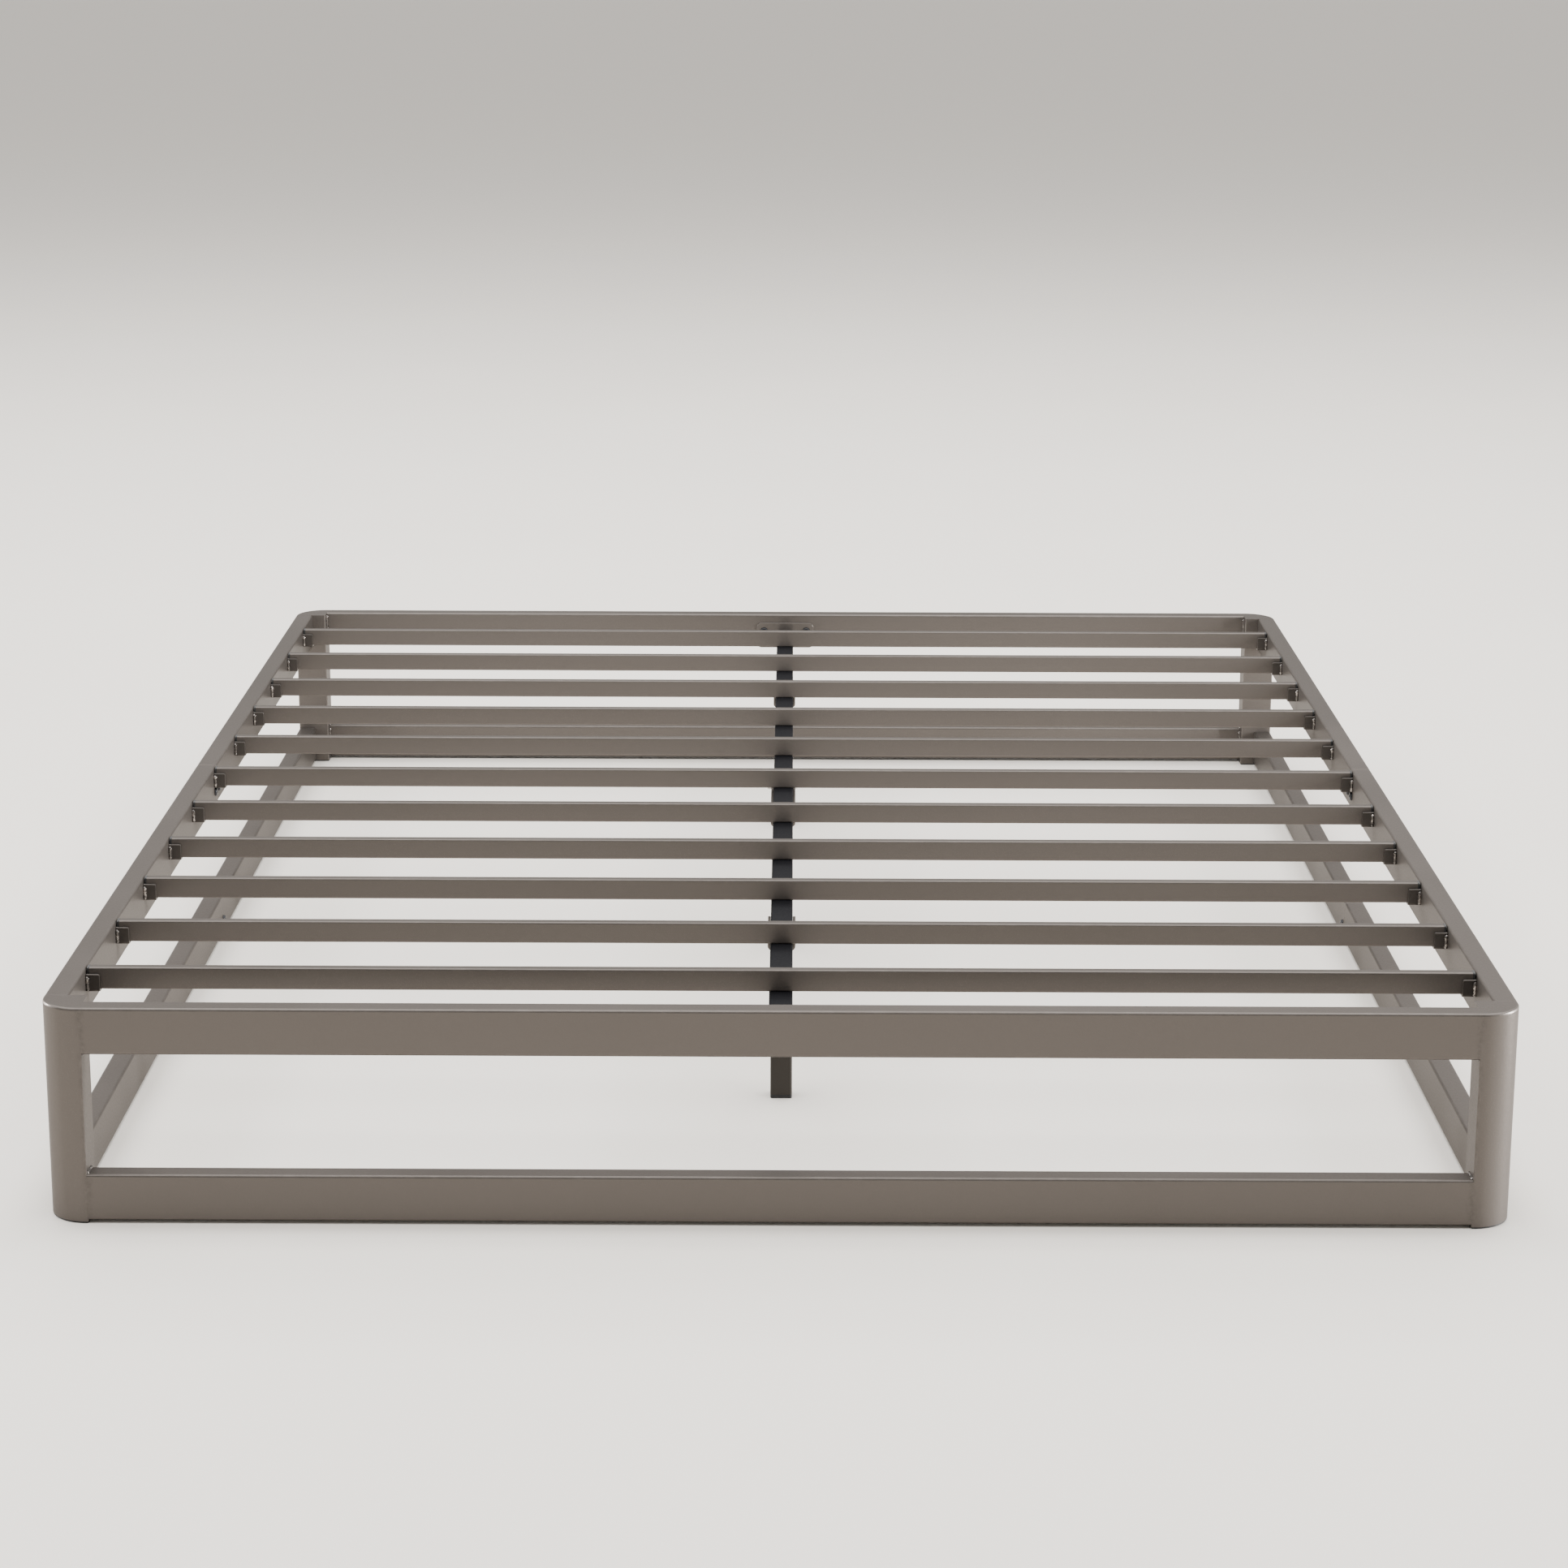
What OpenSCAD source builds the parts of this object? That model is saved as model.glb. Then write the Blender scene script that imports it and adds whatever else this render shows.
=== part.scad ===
// Low metal bed frame: two welded end frames, split side rails, a centre beam on
// three legs, and eleven tube slats that lie loose in open-topped cradles.
// Millimetres. X is the width, Y the length with the foot end at -Y, Z is up.
// The origin is on the floor at the middle of the frame.

/* [Overall size] */
// Width over the side rails
bed_w = 1524; // [1300:1:1600]
// Length over the end rails
bed_l = 2032; // [1850:1:2150]
// Height from the floor to the mattress plane
bed_h = 234; // [220:1:360]

/* [Rails] */
// Thickness of a rail, seen from above
rail_t = 25; // [24:1:30]
// Height of a rail
rail_h = 50; // [46:1:60]
// Wall of the rail tube
rail_wall = 1.2; // [1:0.1:1.6]
// Outer corner radius of the rail tube
rail_r = 3; // [2.5:0.5:4]
// Height of the lower rails above the floor
floor_gap = 3.5; // [3:0.5:12]
// Open seam between the two halves of a side rail, and of the beam
seam = 0.4; // [0.2:0.1:1]
// How far behind mid-length the side rails are split, clear of the middle cradles
split_y = 10.6; // [10.6:0.1:14]

/* [Corner posts] */
// Side of the square corner post
post_w = 45; // [44:1:60]
// Radius of the post's outer corner
post_round = 42; // [10:1:43]
// Radius of its other three corners
post_r = 1.5; // [1:0.5:4]
// Wall of the post
post_wall = 2; // [1.5:0.1:2.5]
// Thickness of the plate welded over the post
post_cap_t = 3; // [2:0.1:4]
// Thickness of the glide's flange under the post
glide_t = 2; // [1.5:0.1:3]

/* [Slats] */
// Number of slats
slat_count = 11; // [9:1:13]
// Depth of a slat, along the bed
slat_d = 12; // [12:1:20]
// Height of a slat
slat_h = 24; // [20:1:30]
// Wall of the slat tube
slat_wall = 1; // [0.8:0.1:1.2]
// Outer corner radius of the slat tube
slat_r = 2; // [1.5:0.5:3]
// Distance from the end of the bed to the nearest face of the first slat
slat_setback = 141; // [120:1:160]
// Clearance between a slat's end cap and the side rail
slat_end_gap = 1; // [0.5:0.1:2]
// Thickness of the flange of a slat's end cap
slat_cap_t = 2.5; // [2:0.5:4]
// Length of the plug of a slat's end cap
slat_plug_l = 14; // [8:1:20]

/* [Slat cradles] */
// Reach of a cradle from the side rail
cradle_l = 14.5; // [12:0.5:18]
// Thickness of its bent steel
cradle_t = 2.5; // [1.5:0.5:3]
// Clearance between a cradle's walls and the slat, each side
cradle_gap = 0.4; // [0.3:0.1:1]
// Distance from the top of the slat down to the cradle's rim
cradle_drop = 7.5; // [6:0.5:14]

/* [Centre beam] */
// Side of the square tube of the beam and its legs
beam_w = 25; // [25:1:30]
// Wall of that tube
beam_wall = 1.5; // [1.2:0.1:2]
// Outer corner radius of that tube
beam_r = 2.5; // [2.5:0.5:3]
// Distance from the end of the bed to the middle of an outer leg
leg_setback = 412; // [300:1:600]
// Thickness of the bent steel of the saddles and the splice
saddle_t = 3; // [2:0.5:4]
// Length of a leg's saddle
saddle_l = 60; // [40:1:80]
// Length of the splice that joins the two halves of the beam
splice_l = 190; // [150:1:240]
// Height of the saddle's cheeks above the underside of the beam
cheek_h = 20; // [17:1:22]
// Thickness of the flange of a leg's foot
foot_t = 4; // [3:0.5:8]
// Length of the plug of a leg's foot
foot_plug_l = 16; // [10:1:30]

/* [Beam end plates] */
// Width of a plate
plate_w = 88; // [84:1:110]
// Height of a plate
plate_h = 39; // [36:1:44]
// Thickness of a plate
plate_t = 2.5; // [2:0.5:4]
// Corner radius of a plate
plate_r = 7; // [4:1:10]
// Distance between its two bolts
plate_bolt_gap = 66; // [60:1:70]

/* [Joint hardware] */
// Reach of a corner stub into a side rail
stub_l = 60; // [50:1:90]
// Length of the inner sleeve that joins two rail halves
sleeve_l = 160; // [120:1:320]
// Wall of the stubs and sleeves
stub_wall = 2; // [1.6:0.1:2.5]
// Clearance between a stub or sleeve and the rail, each side
stub_gap = 0.3; // [0.2:0.1:0.5]
// Distance from the end of a rail half to its bolt at the corner
corner_bolt_y = 30; // [20:1:40]
// Distance from the side rails' seam to the sleeve's bolts
sleeve_bolt_y = 14; // [12:1:60]
// Drop of the sleeve's bolts below the middle of the rail
sleeve_bolt_drop = 7.5; // [7.5:0.5:9]
// Distance from the middle of the beam to the splice's bolts
splice_bolt_y = 60; // [40:1:70]

/* [Hidden] */
$fn = 48;
SIDES = [-1, 1];

// Levels
low_z = floor_gap + rail_h / 2;
high_z = bed_h - rail_h / 2;
slat_z = bed_h - slat_h / 2;
beam_top = bed_h - slat_h;
beam_z = beam_top - beam_w / 2;
beam_floor = beam_top - beam_w;
leg_top = beam_floor - saddle_t;

// Lengths and places
half_w = bed_w / 2;
half_l = bed_l / 2;
end_rail_l = bed_w - 2 * post_w;
side_rail_x = half_w - rail_t / 2;
inner_x = half_w - rail_t;
inner_y = half_l - rail_t;
side_end = half_l - post_w;
slat_l = 2 * (inner_x - slat_end_gap - slat_cap_t);
slat_pitch = (bed_l - 2 * slat_setback - slat_d) / (slat_count - 1);
middle_slat = ceil(slat_count / 2);
cradle_bottom = beam_top - cradle_t;
cradle_wall_h = slat_h - cradle_drop + cradle_t - 1.5;
leg_y = half_l - leg_setback;
beam_half_l = inner_y - plate_t - seam / 2;
plate_z = high_z - rail_h / 2 - 2 + plate_h / 2;
plate_bolt_z = plate_z + 6.5;
corner_bolt_at = side_end - corner_bolt_y;

// Bolts: [head radius, head height, shank radius, shank length]
rail_bolt = [5.5, 3, 3, 14];
plate_bolt = [6, 3.5, 3.9, 12];
beam_bolt = [5.5, 3.3, 3, 39];
socket_depth = 2.2;
hole_play = 0.3;
thread_play = 0.05;
nut_r = 5.8;
nut_t = 5;
boss_r = 6.5;
boss_l = 7;

function slat_y(i) = -half_l + slat_setback + slat_d / 2 + (i - 1) * slat_pitch;
function two_digits(i) = str(i < 10 ? "0" : "", i);
function slat_name(i) = str("slat_", two_digits(i));
function slat_caps_name(i) = str("slat_", two_digits(i), "_end_caps");

// ---- Colours ----

module paint() {
    color("#7c736c") children();
}

module black_paint() {
    color("#2b2b2e") children();
}

module leg_paint() {
    color("#4f4a46") children();
}

module black_plastic() {
    color("#141414") children();
}

module black_steel() {
    color("#26262a") children();
}

module zinc() {
    color("#b9b7b2") children();
}

// ---- Sections ----

module rounded_rect(w, h, r) {
    square([w - 2 * r, h], center = true);
    square([w, h - 2 * r], center = true);
    for (x = SIDES, y = SIDES) {
        translate([x * (w / 2 - r), y * (h / 2 - r)]) circle(r);
    }
}

module tube_section(w, h, r, wall) {
    difference() {
        rounded_rect(w, h, r);
        rounded_rect(w - 2 * wall, h - 2 * wall, max(r - wall, 0.5));
    }
}

// Square with one large corner radius at (-x, -y)
module post_outline(w, r_corner, r) {
    difference() {
        rounded_rect(w, w, r);
        translate([-w / 2 - 1, -w / 2 - 1]) square(r_corner + 1);
    }
    intersection() {
        translate([-w / 2, -w / 2]) square(r_corner);
        translate([r_corner - w / 2, r_corner - w / 2]) circle(r_corner, $fn = 96);
    }
}

module rail_section() {
    tube_section(rail_t, rail_h, rail_r, rail_wall);
}

module stub_section() {
    w = rail_t - 2 * (rail_wall + stub_gap);
    h = rail_h - 2 * (rail_wall + stub_gap);
    tube_section(w, h, rail_r - rail_wall, stub_wall);
}

// Channel with its floor at y = 0 and its mouth upwards
module channel_section(inner_w, h, t, r) {
    outer_w = inner_w + 2 * t;
    difference() {
        union() {
            translate([0, (h + r) / 2]) square([outer_w, h - r], center = true);
            translate([0, r / 2]) square([outer_w - 2 * r, r], center = true);
            for (s = SIDES) translate([s * (outer_w / 2 - r), r]) circle(r);
        }
        translate([0, t + h / 2]) rounded_rect(inner_w, h, max(r - t, 0.5));
        translate([0, t + h]) square([inner_w, h], center = true);
    }
}

module along_x(l) {
    rotate([90, 0, 90]) linear_extrude(l, center = true) children();
}

module along_y(l) {
    rotate([90, 0, 0]) linear_extrude(l, center = true) children();
}

module both_sides() {
    children();
    mirror([1, 0, 0]) children();
}

module both_ends() {
    children();
    mirror([0, 1, 0]) children();
}

// ---- End frames ----

// Threaded boss inside the rail wall that faces the bed, with its hole
module plate_boss(x) {
    translate([x, -inner_y - rail_wall + 0.2, plate_bolt_z]) {
        rotate([90, 0, 0]) cylinder(h = boss_l, r = boss_r);
    }
}

module plate_boss_hole(x) {
    translate([x, -inner_y + 1, plate_bolt_z]) {
        rotate([90, 0, 0]) cylinder(h = boss_l + 4, r = plate_bolt[2] + thread_play);
    }
}

module foot_top_rail() {
    paint() difference() {
        union() {
            translate([0, -half_l + rail_t / 2, high_z]) along_x(end_rail_l) rail_section();
            for (s = SIDES) plate_boss(s * plate_bolt_gap / 2);
        }
        for (s = SIDES) plate_boss_hole(s * plate_bolt_gap / 2);
    }
}

module head_top_rail() {
    mirror([0, 1, 0]) foot_top_rail();
}

module foot_bottom_rail() {
    paint() translate([0, -half_l + rail_t / 2, low_z]) along_x(end_rail_l) rail_section();
}

module head_bottom_rail() {
    mirror([0, 1, 0]) foot_bottom_rail();
}

module at_left_foot_corner() {
    translate([-half_w + post_w / 2, -half_l + post_w / 2, 0]) children();
}

module foot_left_post() {
    paint() at_left_foot_corner() translate([0, 0, glide_t]) {
        linear_extrude(bed_h - glide_t - post_cap_t) difference() {
            post_outline(post_w, post_round, post_r);
            post_outline(post_w - 2 * post_wall, post_round - post_wall, post_r - post_wall);
        }
    }
}

module foot_right_post() {
    mirror([1, 0, 0]) foot_left_post();
}

module head_left_post() {
    mirror([0, 1, 0]) foot_left_post();
}

module head_right_post() {
    mirror([1, 0, 0]) head_left_post();
}

module post_caps() {
    paint() both_sides() both_ends() at_left_foot_corner() {
        translate([0, 0, bed_h - post_cap_t]) {
            linear_extrude(post_cap_t) post_outline(post_w, post_round, post_r);
        }
    }
}

module post_glides() {
    plug_w = post_w - 2 * post_wall - 0.6;
    black_plastic() both_sides() both_ends() at_left_foot_corner() {
        linear_extrude(glide_t) post_outline(post_w - 1, post_round - 0.5, post_r - 0.5);
        translate([0, 0, glide_t - 0.5]) linear_extrude(12.5) difference() {
            post_outline(plug_w, post_round - post_wall - 0.3, 0.8);
            post_outline(plug_w - 5, post_round - post_wall - 2.8, 0.5);
        }
    }
}

// ---- Side rails ----

// Hole in the left rail's inner face
module rail_bolt_hole(y, z) {
    translate([-inner_x + 1, y, z]) {
        rotate([0, -90, 0]) cylinder(h = rail_wall + 3, r = rail_bolt[2] + hole_play);
    }
}

// Left side rail with its middle at height z, from y0 to y1, bolted at corner_y and sleeve_y
module side_rail(z, y0, y1, corner_y, sleeve_y) {
    paint() difference() {
        translate([-side_rail_x, (y0 + y1) / 2, z]) along_y(y1 - y0) rail_section();
        rail_bolt_hole(corner_y, z);
        rail_bolt_hole(sleeve_y, z - sleeve_bolt_drop);
    }
}

module foot_half_rail(z) {
    side_rail(z, -side_end, split_y - seam / 2, -corner_bolt_at, split_y - sleeve_bolt_y);
}

module head_half_rail(z) {
    side_rail(z, split_y + seam / 2, side_end, corner_bolt_at, split_y + sleeve_bolt_y);
}

module left_upper_rail_foot_half() {
    foot_half_rail(high_z);
}

module left_upper_rail_head_half() {
    head_half_rail(high_z);
}

module left_lower_rail_foot_half() {
    foot_half_rail(low_z);
}

module left_lower_rail_head_half() {
    head_half_rail(low_z);
}

module right_upper_rail_foot_half() {
    mirror([1, 0, 0]) left_upper_rail_foot_half();
}

module right_upper_rail_head_half() {
    mirror([1, 0, 0]) left_upper_rail_head_half();
}

module right_lower_rail_foot_half() {
    mirror([1, 0, 0]) left_lower_rail_foot_half();
}

module right_lower_rail_head_half() {
    mirror([1, 0, 0]) left_lower_rail_head_half();
}

// Threaded boss on the inside of the wall of a stub or sleeve that faces the bed
module stub_boss(y, z) {
    translate([-inner_x - rail_wall - stub_gap - stub_wall + 0.2, y, z]) {
        rotate([0, -90, 0]) cylinder(h = boss_l, r = boss_r);
    }
}

module stub_boss_hole(y, z) {
    translate([-inner_x, y, z]) {
        rotate([0, -90, 0]) cylinder(h = boss_l + 6, r = rail_bolt[2] + thread_play);
    }
}

// Inner sleeve across the seam of the left side rail
module sleeve(z) {
    difference() {
        union() {
            translate([-side_rail_x, split_y, z]) along_y(sleeve_l) stub_section();
            for (s = SIDES) stub_boss(split_y + s * sleeve_bolt_y, z - sleeve_bolt_drop);
        }
        for (s = SIDES) stub_boss_hole(split_y + s * sleeve_bolt_y, z - sleeve_bolt_drop);
    }
}

// Stub that is welded to the foot left post and reaches into the side rail
module stub(z) {
    difference() {
        union() {
            translate([-side_rail_x, -side_end + stub_l / 2, z]) along_y(stub_l) stub_section();
            stub_boss(-corner_bolt_at, z);
        }
        stub_boss_hole(-corner_bolt_at, z);
    }
}

module upper_rail_sleeves() {
    zinc() both_sides() sleeve(high_z);
}

module lower_rail_sleeves() {
    zinc() both_sides() sleeve(low_z);
}

module upper_rail_stubs() {
    paint() both_sides() both_ends() stub(high_z);
}

module lower_rail_stubs() {
    paint() both_sides() both_ends() stub(low_z);
}

// ---- Slats and their cradles ----

// Rim that leans away from the slat, for the wall on the +x side of the section
module cradle_rim(x, y) {
    polygon([
        [x, y - 0.5],
        [x, y],
        [x + 0.9, y + 1.5],
        [x + cradle_t + 0.7, y + 0.9],
        [x + cradle_t, y - 0.5]
    ]);
}

module cradle_section() {
    inner_w = slat_d + 2 * cradle_gap;
    channel_section(inner_w, cradle_wall_h, cradle_t, cradle_t + 1);
    cradle_rim(inner_w / 2, cradle_wall_h);
    mirror([1, 0]) cradle_rim(inner_w / 2, cradle_wall_h);
}

module left_cradles(first, last) {
    for (i = [first:last]) {
        translate([-inner_x + cradle_l / 2, slat_y(i), cradle_bottom]) {
            along_x(cradle_l) cradle_section();
        }
    }
}

module left_cradles_foot_half() {
    paint() left_cradles(1, middle_slat);
}

module left_cradles_head_half() {
    paint() left_cradles(middle_slat + 1, slat_count);
}

module right_cradles_foot_half() {
    mirror([1, 0, 0]) left_cradles_foot_half();
}

module right_cradles_head_half() {
    mirror([1, 0, 0]) left_cradles_head_half();
}

module slat(i) {
    paint() translate([0, slat_y(i), slat_z]) {
        along_x(slat_l) tube_section(slat_d, slat_h, slat_r, slat_wall);
    }
}

module slat_end_caps(i) {
    plug_d = slat_d - 2 * slat_wall - 0.4;
    plug_h = slat_h - 2 * slat_wall - 0.4;
    black_plastic() both_sides() {
        translate([slat_l / 2 + slat_cap_t / 2, slat_y(i), slat_z]) {
            along_x(slat_cap_t) rounded_rect(slat_d, slat_h, slat_r);
            translate([-slat_cap_t / 2 - slat_plug_l / 2 + 0.25, 0, 0]) {
                along_x(slat_plug_l + 0.5) rounded_rect(plug_d, plug_h, 1);
            }
        }
    }
}

// ---- Centre beam and its legs ----

module beam_section() {
    tube_section(beam_w, beam_w, beam_r, beam_wall);
}

module beam_bolt_hole(y, r) {
    translate([0, y, beam_z]) {
        rotate([0, 90, 0]) cylinder(h = 2 * beam_w, r = r, center = true);
    }
}

module centre_beam_foot_half() {
    black_paint() difference() {
        translate([0, -seam / 2 - beam_half_l / 2, beam_z]) along_y(beam_half_l) beam_section();
        beam_bolt_hole(-leg_y, beam_bolt[2] + hole_play);
        beam_bolt_hole(-splice_bolt_y, beam_bolt[2] + hole_play);
    }
}

module centre_beam_head_half() {
    mirror([0, 1, 0]) centre_beam_foot_half();
}

module beam_end_plates() {
    paint() both_ends() translate([0, -inner_y + plate_t / 2, plate_z]) {
        difference() {
            along_y(plate_t) rounded_rect(plate_w, plate_h, plate_r);
            for (s = SIDES) {
                translate([s * plate_bolt_gap / 2, 0, plate_bolt_z - plate_z]) {
                    rotate([90, 0, 0]) {
                        cylinder(h = 2 * plate_t, r = plate_bolt[2] + hole_play, center = true);
                    }
                }
            }
        }
    }
}

// Channel under the beam, centred at y
module saddle(y, l) {
    translate([0, y, leg_top]) along_y(l) {
        channel_section(beam_w + 0.4, saddle_t + cheek_h, saddle_t, saddle_t + 2);
    }
}

module beam_splice() {
    paint() difference() {
        saddle(0, splice_l);
        for (s = SIDES) beam_bolt_hole(s * splice_bolt_y, beam_bolt[2] + hole_play);
    }
}

module leg_saddles() {
    paint() both_ends() difference() {
        saddle(-leg_y, saddle_l);
        beam_bolt_hole(-leg_y, beam_bolt[2] + hole_play);
    }
}

module centre_leg(y) {
    leg_paint() translate([0, y, foot_t]) {
        linear_extrude(leg_top - foot_t) beam_section();
    }
}

module foot_centre_leg() {
    centre_leg(-leg_y);
}

module middle_centre_leg() {
    centre_leg(0);
}

module head_centre_leg() {
    centre_leg(leg_y);
}

module leg_feet() {
    plug_w = beam_w - 2 * beam_wall - 0.4;
    black_plastic() for (y = [-leg_y, 0, leg_y]) translate([0, y, 0]) {
        linear_extrude(foot_t) rounded_rect(beam_w, beam_w, beam_r);
        linear_extrude(foot_t + foot_plug_l) rounded_rect(plug_w, plug_w, 1);
    }
}

// ---- Fasteners ----

// Button-headed bolt along z: the head stands above z = 0 and the shank goes down
module bolt(b) {
    difference() {
        union() {
            cylinder(h = b[1], r1 = b[0], r2 = b[0] * 0.72);
            translate([0, 0, -b[3]]) cylinder(h = b[3] + 0.5, r = b[2]);
        }
        translate([0, 0, b[1] - socket_depth]) {
            cylinder(h = socket_depth + 1, r = b[2] * 0.74, $fn = 6);
        }
    }
}

module nut() {
    difference() {
        cylinder(h = nut_t, r = nut_r, $fn = 6);
        translate([0, 0, -1]) cylinder(h = nut_t + 2, r = beam_bolt[2] + thread_play);
    }
}

// Bolt through the left rail's inner face, with its head towards the bed
module rail_bolt_at(y, z) {
    translate([-inner_x, y, z]) rotate([0, 90, 0]) bolt(rail_bolt);
}

module rail_bolts() {
    black_steel() both_sides() for (s = SIDES, z = [low_z, high_z]) {
        rail_bolt_at(s * corner_bolt_at, z);
        rail_bolt_at(split_y + s * sleeve_bolt_y, z - sleeve_bolt_drop);
    }
}

module plate_bolts() {
    black_steel() both_ends() for (s = SIDES) {
        translate([s * plate_bolt_gap / 2, -inner_y + plate_t, plate_bolt_z]) {
            rotate([-90, 0, 0]) bolt(plate_bolt);
        }
    }
}

module beam_bolts_and_nuts() {
    cheek_x = beam_w / 2 + 0.2 + saddle_t;
    zinc() for (y = [-leg_y, -splice_bolt_y, splice_bolt_y, leg_y]) {
        translate([cheek_x, y, beam_z]) rotate([0, 90, 0]) bolt(beam_bolt);
        translate([-cheek_x - nut_t, y, beam_z]) rotate([0, 90, 0]) nut();
    }
}

// ---- What is drawn ----

foot_top_rail();
foot_bottom_rail();
head_top_rail();
head_bottom_rail();
foot_left_post();
foot_right_post();
head_left_post();
head_right_post();
post_caps();
post_glides();
left_upper_rail_foot_half();
left_upper_rail_head_half();
left_lower_rail_foot_half();
left_lower_rail_head_half();
right_upper_rail_foot_half();
right_upper_rail_head_half();
right_lower_rail_foot_half();
right_lower_rail_head_half();
upper_rail_sleeves();
lower_rail_sleeves();
upper_rail_stubs();
lower_rail_stubs();
left_cradles_foot_half();
left_cradles_head_half();
right_cradles_foot_half();
right_cradles_head_half();
for (i = [1:slat_count]) slat(i);
for (i = [1:slat_count]) slat_end_caps(i);
centre_beam_foot_half();
centre_beam_head_half();
beam_end_plates();
beam_splice();
foot_centre_leg();
middle_centre_leg();
head_centre_leg();
leg_saddles();
leg_feet();
rail_bolts();
plate_bolts();
beam_bolts_and_nuts();
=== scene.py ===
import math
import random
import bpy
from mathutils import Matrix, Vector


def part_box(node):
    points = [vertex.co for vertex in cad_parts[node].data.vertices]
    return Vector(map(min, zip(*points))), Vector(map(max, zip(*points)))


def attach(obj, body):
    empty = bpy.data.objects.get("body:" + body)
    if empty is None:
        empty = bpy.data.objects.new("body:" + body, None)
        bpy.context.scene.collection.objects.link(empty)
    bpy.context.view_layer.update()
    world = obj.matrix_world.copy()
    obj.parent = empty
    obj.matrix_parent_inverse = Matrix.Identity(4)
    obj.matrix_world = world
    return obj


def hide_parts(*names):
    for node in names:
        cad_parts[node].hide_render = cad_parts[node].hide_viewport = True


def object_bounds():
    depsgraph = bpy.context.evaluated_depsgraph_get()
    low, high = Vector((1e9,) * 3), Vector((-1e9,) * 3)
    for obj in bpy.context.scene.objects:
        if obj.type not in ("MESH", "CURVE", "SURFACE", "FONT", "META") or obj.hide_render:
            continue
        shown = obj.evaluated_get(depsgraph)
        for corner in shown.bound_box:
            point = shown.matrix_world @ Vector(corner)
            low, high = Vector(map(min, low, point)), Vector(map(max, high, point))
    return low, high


bl_info = {
    "name": "Metal Bed Frame",
    "version": (1, 0, 0),
    "blender": (4, 5, 0),
    "location": "View3D > Sidebar > Bed Frame",
    "description": "Builds the visible pieces and finishes of a painted steel bed frame",
    "category": "Object",
}

import bmesh
import bpy
from mathutils import Matrix, Vector

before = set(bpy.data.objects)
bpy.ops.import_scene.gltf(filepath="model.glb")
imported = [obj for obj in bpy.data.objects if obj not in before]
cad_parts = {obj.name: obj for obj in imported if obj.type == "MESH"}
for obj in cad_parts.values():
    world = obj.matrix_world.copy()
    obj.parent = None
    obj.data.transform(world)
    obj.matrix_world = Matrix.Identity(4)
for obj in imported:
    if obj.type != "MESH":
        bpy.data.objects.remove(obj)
CAD_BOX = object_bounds()

BODY = "frame"
SLATS = [f"slat_{number:02d}" for number in range(1, 12)]
MM = 0.001
SIDES = (-1, 1)
AXES = {"X": 0, "Y": 1, "Z": 2}
ABOVE_ZERO = 1e-6


# ---- Sizes and finishes that a user can change ----


class BedFrameShape(bpy.types.PropertyGroup):
    """Sizes of the visible pieces that the CAD boxes don't give."""

    rail_radius: bpy.props.FloatProperty(
        name="Rail Corner Radius",
        description="Outer corner radius of the rail tube",
        default=3 * MM,
        subtype="DISTANCE",
        unit="LENGTH",
    )
    rail_wall: bpy.props.FloatProperty(
        name="Rail Wall",
        description="Wall thickness of the rail tube",
        default=1.2 * MM,
        subtype="DISTANCE",
        unit="LENGTH",
    )
    slat_radius: bpy.props.FloatProperty(
        name="Slat Corner Radius",
        description="Outer corner radius of the slat tube",
        default=2 * MM,
        subtype="DISTANCE",
        unit="LENGTH",
    )
    slat_wall: bpy.props.FloatProperty(
        name="Slat Wall",
        description="Wall thickness of the slat tube",
        default=1 * MM,
        subtype="DISTANCE",
        unit="LENGTH",
    )
    beam_radius: bpy.props.FloatProperty(
        name="Beam Corner Radius",
        description="Outer corner radius of the centre beam and its legs",
        default=2.5 * MM,
        subtype="DISTANCE",
        unit="LENGTH",
    )
    beam_wall: bpy.props.FloatProperty(
        name="Beam Wall",
        description="Wall thickness of the centre beam and its legs",
        default=1.5 * MM,
        subtype="DISTANCE",
        unit="LENGTH",
    )
    post_radius: bpy.props.FloatProperty(
        name="Post Outer Radius",
        description="Radius of the corner post's outer corner",
        default=42 * MM,
        subtype="DISTANCE",
        unit="LENGTH",
    )
    post_edge: bpy.props.FloatProperty(
        name="Post Edge Radius",
        description="Radius of the corner post's other corners",
        default=1.5 * MM,
        subtype="DISTANCE",
        unit="LENGTH",
    )
    post_wall: bpy.props.FloatProperty(
        name="Post Wall",
        description="Wall thickness of the corner post",
        default=2 * MM,
        subtype="DISTANCE",
        unit="LENGTH",
    )
    sheet: bpy.props.FloatProperty(
        name="Cradle Thickness",
        description="Thickness of the bent steel of the slat cradles",
        default=2.5 * MM,
        subtype="DISTANCE",
        unit="LENGTH",
    )
    bead: bpy.props.FloatProperty(
        name="Weld Bead Radius",
        description="Radius of the fillet welds between rails and posts",
        default=2.2 * MM,
        subtype="DISTANCE",
        unit="LENGTH",
    )


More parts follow.
